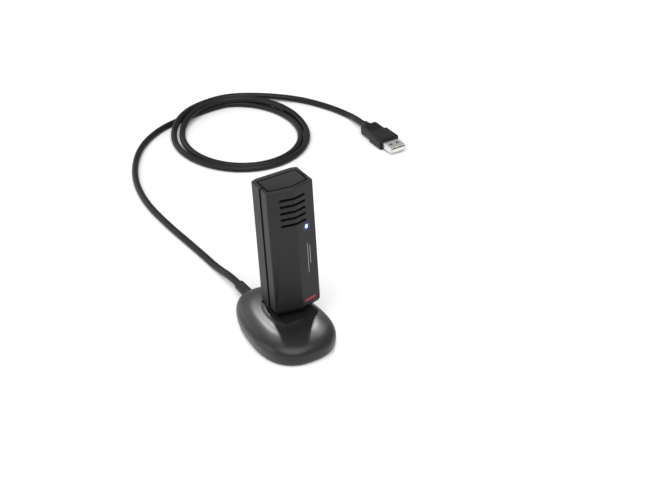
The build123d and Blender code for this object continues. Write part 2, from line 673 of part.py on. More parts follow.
with BuildPart() as status_led:
    with BuildSketch(wall_plane(BOARD_FRONT)):
        with Locations((ADAPTER_X + LAMP_X, ADAPTER_Z + LAMP_HEIGHT)):
            Rectangle(1.6, 2.0)
    extrude(amount=LED_BASE_THICK)
    with BuildSketch(wall_plane(BOARD_FRONT - LED_BASE_THICK)):
        with Locations((ADAPTER_X + LAMP_X, ADAPTER_Z + LAMP_HEIGHT)):
            Circle(LED_LENS_RADIUS)
    extrude(amount=LED_LENS_HIGH)
status_led.part.label = "status_led"
export_step(status_led.part, "parts/status_led.step")

with BuildPart() as main_board:
    with BuildSketch(wall_plane(BOARD_FRONT + MAIN_BOARD_THICK)):
        with Locations((ADAPTER_X, ADAPTER_Z + (BOARD_LOW + BOARD_HIGH) / 2)):
            RectangleRounded(2 * BOARD_HALF, BOARD_HIGH - BOARD_LOW, 1.2)
        for spot_x, spot_height in BOARD_SCREW_SPOTS:
            with Locations((ADAPTER_X + spot_x, ADAPTER_Z + spot_height)):
                Circle(BOARD_PILOT_RADIUS + 5 * FIT_GAP, mode=Mode.SUBTRACT)
    extrude(amount=MAIN_BOARD_THICK)
main_board.part.label = "main_board"
export_step(main_board.part, "parts/main_board.step")

with BuildPart() as board_screws:
    for spot_x, spot_height in BOARD_SCREW_SPOTS:
        with BuildSketch(wall_plane(BOARD_FRONT)):
            with Locations((ADAPTER_X + spot_x, ADAPTER_Z + spot_height)):
                Circle(BOARD_HEAD_RADIUS)
        extrude(amount=BOARD_HEAD_HIGH)
        with BuildSketch(wall_plane(BOARD_FRONT)):
            with Locations((ADAPTER_X + spot_x, ADAPTER_Z + spot_height)):
                Circle(BOARD_PILOT_RADIUS - CORD_GAP)
        extrude(amount=-BOARD_SHANK_LONG)
        with BuildSketch(wall_plane(BOARD_FRONT - BOARD_HEAD_HIGH)):
            with Locations((ADAPTER_X + spot_x, ADAPTER_Z + spot_height)):
                Rectangle(1.5 * BOARD_HEAD_RADIUS, SLOT_WIDE)
        extrude(amount=-SLOT_DEEP, mode=Mode.SUBTRACT)
board_screws.part.label = "board_screws"
export_step(board_screws.part, "parts/board_screws.step")

with BuildPart() as wifi_chip:
    with BuildSketch(wall_plane(BOARD_FRONT)):
        with Locations((ADAPTER_X, ADAPTER_Z + CHIP_HEIGHT)):
            Rectangle(10, 10)
    extrude(amount=0.9)
    chamfer(wifi_chip.edges().group_by(Axis.Y)[0], length=0.15)
wifi_chip.part.label = "wifi_chip"
export_step(wifi_chip.part, "parts/wifi_chip.step")

with BuildPart() as shield_can:
    with BuildSketch(wall_plane(BOARD_FRONT)):
        with Locations((ADAPTER_X, ADAPTER_Z + CHIP_HEIGHT)):
            RectangleRounded(2 * CAN_HALF, 2 * CAN_HALF, 0.8)
    extrude(amount=CAN_DEEP)
    with BuildSketch(wall_plane(BOARD_FRONT)):
        with Locations((ADAPTER_X, ADAPTER_Z + CHIP_HEIGHT)):
            RectangleRounded(2 * CAN_HALF - 0.6, 2 * CAN_HALF - 0.6, 0.5)
    extrude(amount=CAN_DEEP - 0.3, mode=Mode.SUBTRACT)
shield_can.part.label = "shield_can"
export_step(shield_can.part, "parts/shield_can.step")

with BuildPart() as thermal_pad:
    with BuildSketch(wall_plane(BOARD_FRONT - CAN_DEEP)):
        with Locations((ADAPTER_X, ADAPTER_Z + CHIP_HEIGHT)):
            RectangleRounded(15, 15, 0.5)
    extrude(amount=PAD_THICK)
thermal_pad.part.label = "thermal_pad"
export_step(thermal_pad.part, "parts/thermal_pad.step")

with BuildPart() as heat_spreader:
    with BuildSketch(wall_plane(BOARD_FRONT - CAN_DEEP - PAD_THICK)):
        with Locations((ADAPTER_X, ADAPTER_Z + (COOLER_LOW + COOLER_HIGH) / 2)):
            RectangleRounded(2 * COOLER_HALF, COOLER_HIGH - COOLER_LOW, 1.0)
    extrude(amount=COOLER_BASE)
    with BuildSketch(wall_plane(BOARD_FRONT - CAN_DEEP - PAD_THICK - COOLER_BASE)):
        with Locations((ADAPTER_X, ADAPTER_Z + (COOLER_LOW + COOLER_HIGH) / 2)):
            with GridLocations(FIN_PITCH, 1, FIN_COUNT, 1):
                Rectangle(FIN_THICK, COOLER_HIGH - COOLER_LOW - 1.0)
    extrude(amount=FIN_DEEP)
heat_spreader.part.label = "heat_spreader"
export_step(heat_spreader.part, "parts/heat_spreader.step")

ANTENNA_BOARD_Y = BOARD_FRONT + MAIN_BOARD_THICK
ANTENNA_POINTS = [(0, 0), (3.2, 0), (3.2, 15.0), (9.4, 15.0), (9.4, 13.4), (4.8, 13.4)]
ANTENNA_POINTS += [(4.8, 6.0), (6.6, 6.0), (6.6, 4.6), (4.8, 4.6), (4.8, -1.6), (0, -1.6)]
ANTENNA_BASE_HEIGHT = 60.0
ANTENNA_STAND = 4.0
ANTENNA_THICK = 0.3
ANTENNA_LEG_WIDE = 0.8

for side, name in [(-1, "antenna_left"), (1, "antenna_right")]:
    with BuildPart() as antenna:
        with BuildSketch(wall_plane(ANTENNA_BOARD_Y + ANTENNA_STAND)):
            with BuildLine():
                Polyline(
                    *[
                        (ADAPTER_X + side * (12.0 - x), ADAPTER_Z + ANTENNA_BASE_HEIGHT + z)
                        for x, z in ANTENNA_POINTS
                    ],
                    close=True,
                )
            make_face()
        extrude(amount=ANTENNA_THICK)
        with BuildSketch(wall_plane(ANTENNA_BOARD_Y + ANTENNA_STAND - ANTENNA_THICK / 2)):
            with Locations((ADAPTER_X + side * 11.4, ADAPTER_Z + ANTENNA_BASE_HEIGHT)):
                Rectangle(ANTENNA_LEG_WIDE, 2 * ANTENNA_LEG_WIDE)
        extrude(amount=ANTENNA_STAND - ANTENNA_THICK / 2)
    antenna.part.label = name
    export_step(antenna.part, "parts/" + name + ".step")

with BuildPart() as crystal:
    with BuildSketch(wall_plane(BOARD_FRONT)):
        with Locations((ADAPTER_X - 6, ADAPTER_Z + 50)):
            RectangleRounded(3.2, 2.5, 0.4)
    extrude(amount=0.8)
    chamfer(crystal.edges().group_by(Axis.Y)[0], length=0.15)
crystal.part.label = "crystal"
export_step(crystal.part, "parts/crystal.step")

with BuildPart() as flash_chip:
    with BuildSketch(wall_plane(BOARD_FRONT)):
        with Locations((ADAPTER_X + 4, ADAPTER_Z + 43)):
            Rectangle(4.0, 5.0)
    extrude(amount=1.4)
    chamfer(flash_chip.edges().group_by(Axis.Y)[0], length=0.2)
flash_chip.part.label = "flash_chip"
export_step(flash_chip.part, "parts/flash_chip.step")

with BuildPart() as power_inductors:
    with BuildSketch(wall_plane(BOARD_FRONT)):
        for inductor_height in [24, 30]:
            with Locations((ADAPTER_X - 4, ADAPTER_Z + inductor_height)):
                RectangleRounded(4, 4, 0.6)
    extrude(amount=1.8)
power_inductors.part.label = "power_inductors"
export_step(power_inductors.part, "parts/power_inductors.step")

with BuildPart() as capacitors:
    with BuildSketch(wall_plane(BOARD_FRONT)):
        with Locations((ADAPTER_X + 3.5, ADAPTER_Z + 24)):
            with GridLocations(2.4, 3.0, 3, 4):
                Rectangle(1.0, 1.8)
    extrude(amount=0.9)
capacitors.part.label = "capacitors"
export_step(capacitors.part, "parts/capacitors.step")

# --- standard-A plug, made once in its own frame: mouth at z = 0, body above it -----

PLUG_INSIDE_WIDE = PLUG_WIDE - 2 * PLUG_METAL
PLUG_INSIDE_THICK = PLUG_THICK - 2 * PLUG_METAL
PLUG_ROOT = 4.4
PLUG_TONGUE_FRONT = 0.1
PLUG_CONTACT_FRONT = -0.12
PLUG_CONTACT_BACK = 0.39
LATCH_HOLE = 2.2
LATCH_APART = 5.4
LATCH_HEIGHT = 5.2
CORE_START = 0.6
STRIP_START = 1.4
STRIP_GROOVE_DEEP = 0.4

with BuildPart() as plug_case:
    with BuildSketch():
        RectangleRounded(PLUG_WIDE, PLUG_THICK, 0.4)
        RectangleRounded(PLUG_INSIDE_WIDE, PLUG_INSIDE_THICK, 0.1, mode=Mode.SUBTRACT)
    extrude(amount=PLUG_LONG + PLUG_ROOT)
    with BuildSketch(Plane.XZ.offset(PLUG_THICK)):
        with Locations((0, LATCH_HEIGHT)):
            with GridLocations(LATCH_APART, 1, 2, 1):
                Rectangle(LATCH_HOLE, LATCH_HOLE)
    extrude(amount=-2 * PLUG_THICK, mode=Mode.SUBTRACT)

with BuildPart() as plug_core:
    with BuildSketch(Plane.XY.offset(CORE_START)):
        with Locations((0, (PLUG_TONGUE_FRONT + PLUG_INSIDE_THICK / 2) / 2)):
            Rectangle(PLUG_INSIDE_WIDE - 2 * FIT_GAP, PLUG_INSIDE_THICK / 2 - PLUG_TONGUE_FRONT - FIT_GAP)
    extrude(amount=PLUG_LONG + PLUG_ROOT - CORE_START)
    with BuildSketch(Plane.XY.offset(PLUG_LONG)):
        Rectangle(PLUG_INSIDE_WIDE - 2 * FIT_GAP, PLUG_INSIDE_THICK - 2 * FIT_GAP)
    extrude(amount=PLUG_ROOT)
    with BuildSketch(Plane.XY.offset(STRIP_START - STRIP_GROOVE_DEEP)):
        with GridLocations(CONTACT_PITCH, 1, CONTACT_COUNT, 1):
            Rectangle(CONTACT_WIDE + 2 * FIT_GAP, 2 * STRIP_GROOVE_DEEP)
    extrude(amount=PLUG_LONG + PLUG_ROOT, mode=Mode.SUBTRACT)

with BuildPart() as plug_strips:
    with BuildSketch(Plane.XY.offset(STRIP_START)):
        with Locations((0, (PLUG_CONTACT_FRONT + PLUG_CONTACT_BACK) / 2)):
            with GridLocations(CONTACT_PITCH, 1, CONTACT_COUNT, 1):
                Rectangle(CONTACT_WIDE, PLUG_CONTACT_BACK - PLUG_CONTACT_FRONT)
    extrude(amount=PLUG_LONG + PLUG_ROOT - STRIP_START)

ADAPTER_PLUG_PLACE = Location((SOCKET_X, SOCKET_Y, ADAPTER_Z - PLUG_LONG))
CORD_PLUG_X = 174.5
CORD_PLUG_Z = 4.2
PLUG_BODY_START = 160.0
CORD_PLUG_PLACE = Location((CORD_PLUG_X, PLUG_BODY_START - PLUG_LONG, CORD_PLUG_Z), (-90, 0, 0))

for place, prefix in [(ADAPTER_PLUG_PLACE, "adapter_plug"), (CORD_PLUG_PLACE, "cord_plug")]:
    for piece, kind in [(plug_case, "_case"), (plug_core, "_core"), (plug_strips, "_contacts")]:
        with BuildPart() as placed_piece:
            with Locations(place):
                add(piece.part)
        placed_piece.part.label = prefix + kind
        export_step(placed_piece.part, "parts/" + prefix + kind + ".step")

# --- cord plug's moulded body, laid flat on the table -------------------------------

GRIP_END_Y = 189.5
GRIP_STEP_Y = 175.5
GRIP_WIDE = 16.0
GRIP_THICK = 8.2
GRIP_REAR_WIDE = 13.6
GRIP_REAR_THICK = 7.0
NECK_END_Y = 195.0
NECK_RADIUS = 3.6
NECK_TIP_RADIUS = 3.1
GRIP_LAP = 1.0
GRIP_GAP = 0.01


def lead_plane(y):
    """An upright plane across the plug's axis; sketches on it grow towards the lead."""
    return Plane((CORD_PLUG_X, y, CORD_PLUG_Z), x_dir=(1, 0, 0), z_dir=(0, 1, 0))


with BuildPart() as cord_plug_grip:
    with BuildSketch(lead_plane(PLUG_BODY_START)):
        RectangleRounded(GRIP_WIDE, GRIP_THICK, 1.8)
    extrude(amount=GRIP_STEP_Y - PLUG_BODY_START)
    chamfer(cord_plug_grip.edges().group_by(Axis.Y)[0], length=0.5)
    chamfer(cord_plug_grip.edges().group_by(Axis.Y)[-1], length=0.6)
    with BuildSketch(lead_plane(GRIP_STEP_Y - GRIP_LAP)):
        RectangleRounded(GRIP_REAR_WIDE, GRIP_REAR_THICK, 1.6)
    extrude(amount=GRIP_END_Y - GRIP_STEP_Y + GRIP_LAP)
    chamfer(cord_plug_grip.edges().group_by(Axis.Y)[-1], length=1.2)
    with BuildSketch(lead_plane(PLUG_BODY_START)):
        RectangleRounded(PLUG_WIDE + 2 * GRIP_GAP, PLUG_THICK + 2 * GRIP_GAP, 0.4)
    extrude(amount=PLUG_ROOT + 2 * GRIP_GAP, mode=Mode.SUBTRACT)
cord_plug_grip.part.label = "cord_plug_grip"
export_step(cord_plug_grip.part, "parts/cord_plug_grip.step")

with BuildPart() as cord_plug_neck:
    with BuildSketch(lead_plane(GRIP_END_Y)):
        Circle(NECK_RADIUS)
    with BuildSketch(lead_plane(NECK_END_Y)):
        Circle(NECK_TIP_RADIUS)
    loft()
    fillet(cord_plug_neck.edges().group_by(Axis.Y)[-1], radius=0.7)
cord_plug_neck.part.label = "cord_plug_neck"
export_step(cord_plug_neck.part, "parts/cord_plug_neck.step")

# --- lead on the table --------------------------------------------------------------

LEAD_IN_ROUTE = [
    (CORD_EXIT_X, BOOT_END_Y, CORD_EXIT_Z),
    (CORD_EXIT_X, 63.0, CORD_EXIT_Z),
    (-2.9, 82.0, 2.6),
    (-3.5, 108.0, 2.26),
    (-6.3, 151.8, 2.26),
    (-6.0, 189.8, 2.26),
    (2.7, 227.6, 2.26),
    (22.3, 262.3, 2.26),
    (46.5, 281.5, 2.26),
    (70.0, 288.0, 2.26),
]
LEAD_OUT_ROUTE = [
    (116.0, 289.0, 5.0),
    (143.0, 281.5, 3.6),
    (160.0, 263.0, 2.26),
    (170.0, 239.0, 2.26),
    (175.6, 217.0, 2.26),
    (CORD_PLUG_X, 204.0, CORD_PLUG_Z),
    (CORD_PLUG_X, NECK_END_Y, CORD_PLUG_Z),
]
COIL_X = 94.3
COIL_Y = 239.8
COIL_INNER = (40.9, 51.0)
COIL_OUTER = (50.8, 60.8)
COIL_HIGH = 9.0


def corner_radii(route):
    """As large an arc at each corner as its two runs allow."""
    points = [Vector(*point) for point in route]
    radii = []
    for before, corner, after in zip(points, points[1:], points[2:]):
        incoming = corner - before
        outgoing = after - corner
        turn = math.radians(incoming.get_angle(outgoing))
        shorter = min(incoming.length, outgoing.length)
        radii.append(0.45 * shorter / math.tan(turn / 2))
    return radii


for route, name in [(LEAD_IN_ROUTE, "cord_lead_in"), (LEAD_OUT_ROUTE, "cord_lead_out")]:
    radii = corner_radii(route)
    with BuildPart() as lead:
        with BuildLine() as lead_path:
            FilletPolyline(*route, radius=radii)
        with BuildSketch(Plane(lead_path.line @ 0, z_dir=lead_path.line % 0)):
            Circle(CORD_RADIUS)
        sweep(path=lead_path.line)
    lead.part.label = name
    export_step(lead.part, "parts/" + name + ".step")
    print(name, "arc radii", [round(radius, 1) for radius in radii])
    lead_length = sum(edge.length for edge in lead_path.line.edges())
    print(name, "length", round(lead_length, 1), "volume", round(lead.part.volume, 1))
    print(name, "section times length", round(math.pi * CORD_RADIUS ** 2 * lead_length, 1))

with BuildPart() as cord_coil:
    with BuildSketch():
        with Locations((COIL_X, COIL_Y)):
            Ellipse(*COIL_OUTER)
            Ellipse(*COIL_INNER, mode=Mode.SUBTRACT)
    extrude(amount=COIL_HIGH)
    fillet(cord_coil.edges().group_by(Axis.Z)[-1], radius=2.0)
cord_coil.part.label = "cord_coil"
export_step(cord_coil.part, "parts/cord_coil.step")
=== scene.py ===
import json
import math

import bpy
from mathutils import Matrix, Vector


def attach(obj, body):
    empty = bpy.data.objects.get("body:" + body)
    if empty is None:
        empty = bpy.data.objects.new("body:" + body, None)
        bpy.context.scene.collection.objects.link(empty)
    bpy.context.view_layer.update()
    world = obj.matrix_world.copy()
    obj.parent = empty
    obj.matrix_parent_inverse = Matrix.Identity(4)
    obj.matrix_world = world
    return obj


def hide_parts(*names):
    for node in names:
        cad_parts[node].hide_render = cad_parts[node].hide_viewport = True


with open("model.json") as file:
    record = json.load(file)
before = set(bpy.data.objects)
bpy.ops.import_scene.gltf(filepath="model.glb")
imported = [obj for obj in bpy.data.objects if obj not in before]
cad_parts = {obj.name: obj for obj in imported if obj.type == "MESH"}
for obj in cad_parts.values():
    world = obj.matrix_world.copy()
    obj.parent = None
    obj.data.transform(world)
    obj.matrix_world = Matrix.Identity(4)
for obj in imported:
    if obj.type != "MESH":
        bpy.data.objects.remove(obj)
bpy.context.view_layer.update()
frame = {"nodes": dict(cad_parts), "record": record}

NODES = frame["nodes"]

# --- camera -------------------------------------------------------------------------

# place in metres; azimuth from +Y, tilt below level, and roll; lens and sensor in millimetres
CAMERA_PLACE = Vector((-0.3207, -0.6613, 0.5091))
CAMERA_AZIMUTH = math.radians(28.26)
CAMERA_DOWN = math.radians(31.65)
CAMERA_ROLL = math.radians(-3.54)
CAMERA_LENS = 81.8
SENSOR_WIDTH = 36.0
CAMERA_NEAR = 0.01


def add_camera():
    """Looks down at the adapter from the front left, as the photograph does."""
    forward = Vector((
        math.sin(CAMERA_AZIMUTH) * math.cos(CAMERA_DOWN),
        math.cos(CAMERA_AZIMUTH) * math.cos(CAMERA_DOWN),
        -math.sin(CAMERA_DOWN),
    ))
    level_right = forward.cross(Vector((0, 0, 1))).normalized()
    level_up = level_right.cross(forward)
    right = math.cos(CAMERA_ROLL) * level_right + math.sin(CAMERA_ROLL) * level_up
    up = right.cross(forward)
    data = bpy.data.cameras.new("camera")
    data.lens = CAMERA_LENS
    data.sensor_width = SENSOR_WIDTH
    data.clip_start = CAMERA_NEAR
    camera = bpy.data.objects.new("camera", data)
    bpy.context.scene.collection.objects.link(camera)
    turn = Matrix((right, up, -forward)).transposed().to_4x4()
    camera.matrix_world = Matrix.Translation(CAMERA_PLACE) @ turn
    bpy.context.scene.camera = camera


# --- material tools -----------------------------------------------------------------

PLASTIC_SPECULAR = 0.36
# the part of a noise over which a colour runs from its dark to its light shade
SHADE_FROM = 0.3
SHADE_TO = 0.7
# features per metre of the noises in every moulded finish, and how far its roughness strays
MOTTLE_SCALE = 90
GLOSS_SCALE = 900
GLOSS_STRAY = 0.03
NOISE_DETAIL = 3.0
GRAIN_DETAIL = 4.0
# features per metre on metal, and how much smoother and rougher it gets
METAL_SCALE = 1500
METAL_SMOOTHER = 0.05
METAL_ROUGHER = 0.1


def new_material(name, colour, roughness, metallic=0.0):
    """A material with its plain values set on the shader, ready for nodes to be added."""
    material = bpy.data.materials.new(name)
    material.use_nodes = True
    shader = material.node_tree.nodes["Principled BSDF"]
    shader.inputs["Base Color"].default_value = (*colour, 1)
    shader.inputs["Roughness"].default_value = roughness
    shader.inputs["Metallic"].default_value = metallic
    if not metallic:
        shader.inputs["Specular IOR Level"].default_value = PLASTIC_SPECULAR
    return material


def add_node(material, kind, **inputs):
    """A node with some of its inputs set by name."""
    node = material.node_tree.nodes.new(kind)
    for name, value in inputs.items():
        node.inputs[name.replace("_", " ")].default_value = value
    return node


def join(material, out_socket, in_socket):
    """Links one node's output to another's input."""
    material.node_tree.links.new(out_socket, in_socket)


def shader_of(material):
    """The material's main shader."""
    return material.node_tree.nodes["Principled BSDF"]


def object_noise(material, scale, detail=NOISE_DETAIL):
    """Noise that is fixed to the piece itself, scale in features per metre."""
    place = material.node_tree.nodes.new("ShaderNodeTexCoord")
    noise = add_node(material, "ShaderNodeTexNoise", Scale=scale, Detail=detail)
    join(material, place.outputs["Object"], noise.inputs["Vector"])
    return noise


def vary_colour(material, noise, dark, light):
    """Base colour wanders between two shades with a noise."""
    ramp = material.node_tree.nodes.new("ShaderNodeValToRGB")
    ramp.color_ramp.elements[0].position = SHADE_FROM
    ramp.color_ramp.elements[0].color = (*dark, 1)
    ramp.color_ramp.elements[1].position = SHADE_TO
    ramp.color_ramp.elements[1].color = (*light, 1)
    join(material, noise.outputs["Fac"], ramp.inputs["Fac"])
    join(material, ramp.outputs["Color"], shader_of(material).inputs["Base Color"])


def vary_roughness(material, noise, low, high):
    """Roughness wanders between two values with a noise."""
    spread = add_node(material, "ShaderNodeMapRange", To_Min=low, To_Max=high)
    join(material, noise.outputs["Fac"], spread.inputs["Value"])
    join(material, spread.outputs["Result"], shader_of(material).inputs["Roughness"])


def add_bump(material, noise, height):
    """Shades the surface as if a noise raised it, height in metres."""
    bump = add_node(material, "ShaderNodeBump", Strength=1.0, Distance=height)
    join(material, noise.outputs["Fac"], bump.inputs["Height"])
    join(material, bump.outputs["Normal"], shader_of(material).inputs["Normal"])


def textured_plastic(name, dark, light, roughness, grain, height):
    """A moulded finish with a fine grain and slightly uneven colour and gloss."""
    material = new_material(name, dark, roughness)
    vary_colour(material, object_noise(material, MOTTLE_SCALE), dark, light)
    gloss = object_noise(material, GLOSS_SCALE)
    vary_roughness(material, gloss, roughness - GLOSS_STRAY, roughness + GLOSS_STRAY)
    add_bump(material, object_noise(material, grain, GRAIN_DETAIL), height)
    return material


def metal(name, colour, roughness):
    """Plated or rolled metal with fine uneven gloss."""
    material = new_material(name, colour, roughness, metallic=1.0)
    gloss = object_noise(material, METAL_SCALE)
    vary_roughness(material, gloss, roughness - METAL_SMOOTHER, roughness + METAL_ROUGHER)
    return material


# --- materials ----------------------------------------------------------------------

# Moulded and printed finishes: dark shade, light shade, roughness, grain per metre, grain
# height in metres. The last four are only in this scene, for pieces that the CAD doesn't have.
PLASTICS = {
    "adapter_black": ((0.0058, 0.0058, 0.0060), (0.0078, 0.0078, 0.0080), 0.50, 3800, 0.00002),
    "top_black": ((0.0045, 0.0045, 0.0047), (0.0060, 0.0060, 0.0062), 0.46, 3800, 0.00002),
    "dock_black": ((0.0075, 0.0075, 0.0077), (0.0090, 0.0090, 0.0092), 0.37, 9000, 0.0000006),
    "base_black": ((0.0080, 0.0080, 0.0082), (0.0120, 0.0120, 0.0122), 0.60, 2600, 0.00003),
    "bezel_black": ((0.0050, 0.0050, 0.0052), (0.0070, 0.0070, 0.0072), 0.48, 2600, 0.00002),
    "rubber_black": ((0.0090, 0.0090, 0.0092), (0.0150, 0.0150, 0.0152), 0.82, 1800, 0.00003),
    "cord_black": ((0.0036, 0.0036, 0.0037), (0.0052, 0.0052, 0.0053), 0.46, 2600, 0.000004),
    "grip_black": ((0.0042, 0.0042, 0.0043), (0.0060, 0.0060, 0.0062), 0.46, 2600, 0.00001),
    "core_black": ((0.0060, 0.0060, 0.0060), (0.0090, 0.0090, 0.0090), 0.50, 2600, 0.00002),
    "core_white": ((0.70, 0.70, 0.68), (0.78, 0.78, 0.76), 0.45, 2600, 0.00001),
    "chip_black": ((0.010, 0.010, 0.011), (0.016, 0.016, 0.017), 0.60, 6000, 0.00001),
    "pad_grey": ((0.30, 0.34, 0.40), (0.36, 0.40, 0.46), 0.80, 1800, 0.00003),
    "inductor_grey": ((0.06, 0.06, 0.065), (0.09, 0.09, 0.095), 0.70, 4000, 0.00002),
    "capacitor_tan": ((0.42, 0.27, 0.16), (0.50, 0.33, 0.20), 0.50, 4000, 0.00001),
    "board_green": ((0.008, 0.070, 0.025), (0.012, 0.100, 0.040), 0.35, 900, 0.00001),
    "wire_red": ((0.35, 0.020, 0.015), (0.42, 0.030, 0.020), 0.45, 2200, 0.00001),
    # painted shade: a flat black that stands for the shade down in the grooves round the top plate and at
    # the side seams
    "groove_shade_black": ((0.0008, 0.0008, 0.0008), (0.0012, 0.0012, 0.0012), 0.85, 2600, 0.000004),
    "print_red": ((0.42, 0.012, 0.030), (0.50, 0.018, 0.040), 0.45, 3000, 0.000003),
    "print_grey": ((0.26, 0.26, 0.27), (0.32, 0.32, 0.33), 0.50, 3000, 0.000003),
    "label_silver": ((0.13, 0.13, 0.135), (0.16, 0.16, 0.165), 0.40, 3000, 0.000005),
}
# metal finishes: colour, roughness
METALS = {
    "plug_steel": ((0.74, 0.74, 0.75), 0.22),
    "socket_steel": ((0.62, 0.62, 0.63), 0.32),
    "contact_gold": ((0.86, 0.62, 0.25), 0.25),
    "screw_steel": ((0.55, 0.55, 0.56), 0.35),
    "weight_steel": ((0.20, 0.20, 0.21), 0.60),
    "can_metal": ((0.66, 0.66, 0.66), 0.30),
    "cooler_metal": ((0.05, 0.05, 0.055), 0.45),
    "antenna_metal": ((0.80, 0.66, 0.38), 0.35),
    "crystal_metal": ((0.70, 0.70, 0.68), 0.25),
}
# finishes that reflect less than the rest
DULLER = {"groove_shade_black": 0.02, "cord_black": 0.25, "grip_black": 0.26}
# the lamp's window: where it is, how its glow on the shell falls off, and its lit front
LAMP_PLACE = (0.0173, -0.0056, 0.0697)
GLOW_COLOUR = (0.10, 0.30, 1.0)
GLOW_REACH = 0.0042
GLOW_FALL_POWER = 3
GLOW_STRENGTH = 0.8
LENS_COLOUR = (0.42, 0.70, 1.0)
LENS_ROUGHNESS = 0.2
LENS_STRENGTH = 1.5
LENS_LIT_BEFORE_Y = -0.0050
# the lamp itself is hidden behind its window and gives no light in the scene
LED_COLOUR = (0.55, 0.60, 0.70)
LED_ROUGHNESS = 0.3


def add_glow(material):
    """Makes the shell glow close around the lamp, as if its light spilled over it."""
    place = material.node_tree.nodes.new("ShaderNodeTexCoord")
    away = material.node_tree.nodes.new("ShaderNodeVectorMath")
    away.operation = "DISTANCE"
    away.inputs[1].default_value = LAMP_PLACE
    fall = add_node(
        material, "ShaderNodeMapRange", From_Min=0, From_Max=GLOW_REACH, To_Min=1, To_Max=0
    )
    power = material.node_tree.nodes.new("ShaderNodeMath")
    power.operation = "POWER"
    power.inputs[1].default_value = GLOW_FALL_POWER
    scale = material.node_tree.nodes.new("ShaderNodeMath")
    scale.operation = "MULTIPLY"
    scale.inputs[1].default_value = GLOW_STRENGTH
    join(material, place.outputs["Object"], away.inputs[0])
    join(material, away.outputs["Value"], fall.inputs["Value"])
    join(material, fall.outputs["Result"], power.inputs[0])
    join(material, power.outputs["Value"], scale.inputs[0])
    shader_of(material).inputs["Emission Color"].default_value = (*GLOW_COLOUR, 1)
    join(material, scale.outputs["Value"], shader_of(material).inputs["Emission Strength"])


def lit_lens(name):
    """The lamp's window: an opaque pale finish that glows at its outer face only."""
    material = new_material(name, LENS_COLOUR, LENS_ROUGHNESS)
    place = material.node_tree.nodes.new("ShaderNodeTexCoord")
    split = material.node_tree.nodes.new("ShaderNodeSeparateXYZ")
    outer = material.node_tree.nodes.new("ShaderNodeMath")
    outer.operation = "LESS_THAN"
    outer.inputs[1].default_value = LENS_LIT_BEFORE_Y
    scale = material.node_tree.nodes.new("ShaderNodeMath")
    scale.operation = "MULTIPLY"
    scale.inputs[1].default_value = LENS_STRENGTH
    join(material, place.outputs["Object"], split.inputs["Vector"])
    join(material, split.outputs["Y"], outer.inputs[0])
    join(material, outer.outputs["Value"], scale.inputs[0])
    join(material, scale.outputs["Value"], shader_of(material).inputs["Emission Strength"])
    shader_of(material).inputs["Emission Color"].default_value = (*LENS_COLOUR, 1)
    return material


def make_materials():
    """Every finish on the object, by name; the record's finishes have its slot names."""
    made = {}
    for name, (dark, light, roughness, grain, height) in PLASTICS.items():
        made[name] = textured_plastic(name, dark, light, roughness, grain, height)
    for name, (colour, roughness) in METALS.items():
        made[name] = metal(name, colour, roughness)
    made["lamp_clear"] = lit_lens("lamp_clear")
    made["led_blue"] = new_material("led_blue", LED_COLOUR, LED_ROUGHNESS)
    for name, specular in DULLER.items():
        shader_of(made[name]).inputs["Specular IOR Level"].default_value = specular
    add_glow(made["adapter_black"])
    return made


def paint_nodes(made):
    """Gives every CAD node its finish."""
    for row in frame["record"]["subparts"]:
        data = NODES[row["node"]].data
        data.materials.clear()
        data.materials.append(made[row["material_slot"]])


# --- soft edges and small surface pieces --------------------------------------------

# nodes whose sharp edges are rounded, and by how many metres
SOFT_EDGES = {
    "front_shell": 0.00030,
    "rear_shell": 0.00030,
    "top_plate": 0.00012,
    "socket_bezel": 0.00012,
    "cord_plug_grip": 0.00035,
    "base_plate": 0.00015,
}
WELD_REACH = 0.00001
EDGE_STEPS = 3
SHARP_ANGLE = math.radians(32)


def soften_edges():
    """Rounds the sharp edges of the mouldings so that they catch the light."""
    for name, width in SOFT_EDGES.items():
        piece = NODES[name]
        weld = piece.modifiers.new("weld", "WELD")
        weld.merge_threshold = WELD_REACH
        bevel = piece.modifiers.new("bevel", "BEVEL")
        bevel.width = width
        bevel.segments = EDGE_STEPS
        bevel.limit_method = "ANGLE"
        bevel.angle_limit = SHARP_ANGLE
        bevel.use_clamp_overlap = True
        bevel.harden_normals = True


def add_block(name, size, place, turn, body, finish, made, edge):
    """A small block with rounded edges, turned about the upright axis."""
    bpy.ops.mesh.primitive_cube_add(size=1, location=place, rotation=(0, 0, turn))
    block = bpy.context.object
    block.name = name
    block.data.transform(Matrix.Diagonal((*size, 1)))
    bevel = block.modifiers.new("bevel", "BEVEL")
    bevel.width = edge
    bevel.segments = EDGE_STEPS
    block.data.materials.append(made[finish])
    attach(block, body)


# the adapter's middle and bottom, and the ridge down its front, as in the CAD
ADAPTER_X = 0.0093
ADAPTER_Y = 0.0060
ADAPTER_BOTTOM = 0.0155
ADAPTER_HALF_WIDE = 0.0150
RIDGE_X = 0.0010
RIDGE_DEEP = 0.0133
# how wide the right-hand front facet is across, and how far it falls back over that
FACET_WIDE = 0.0140
FACET_FALL = 0.0034
FACET_TURN = math.atan2(FACET_FALL, FACET_WIDE)
# marks printed on that facet: finish, width, height, place across and above the bottom
FRONT_MARKS = {
    "front_stripe": ("print_red", 0.0085, 0.0011, 0.0072, 0.0052),
    "front_line": ("print_grey", 0.0004, 0.0200, 0.0078, 0.0330),
    "front_dash": ("print_grey", 0.0004, 0.0120, 0.0095, 0.0350),
}
PRINT_THICK = 0.00006
PRINT_EDGE = 0.00002
# blank labels on the back and underneath: body, size, place
LABELS = {
    "rear_label": ("adapter", (0.0180, 0.00012, 0.0300), (ADAPTER_X, 0.01592, 0.0520)),
    "base_label": ("dock", (0.0160, 0.0150, 0.00012), (0.0, 0.0020, 0.00048)),
}
LABEL_EDGE = 0.00005
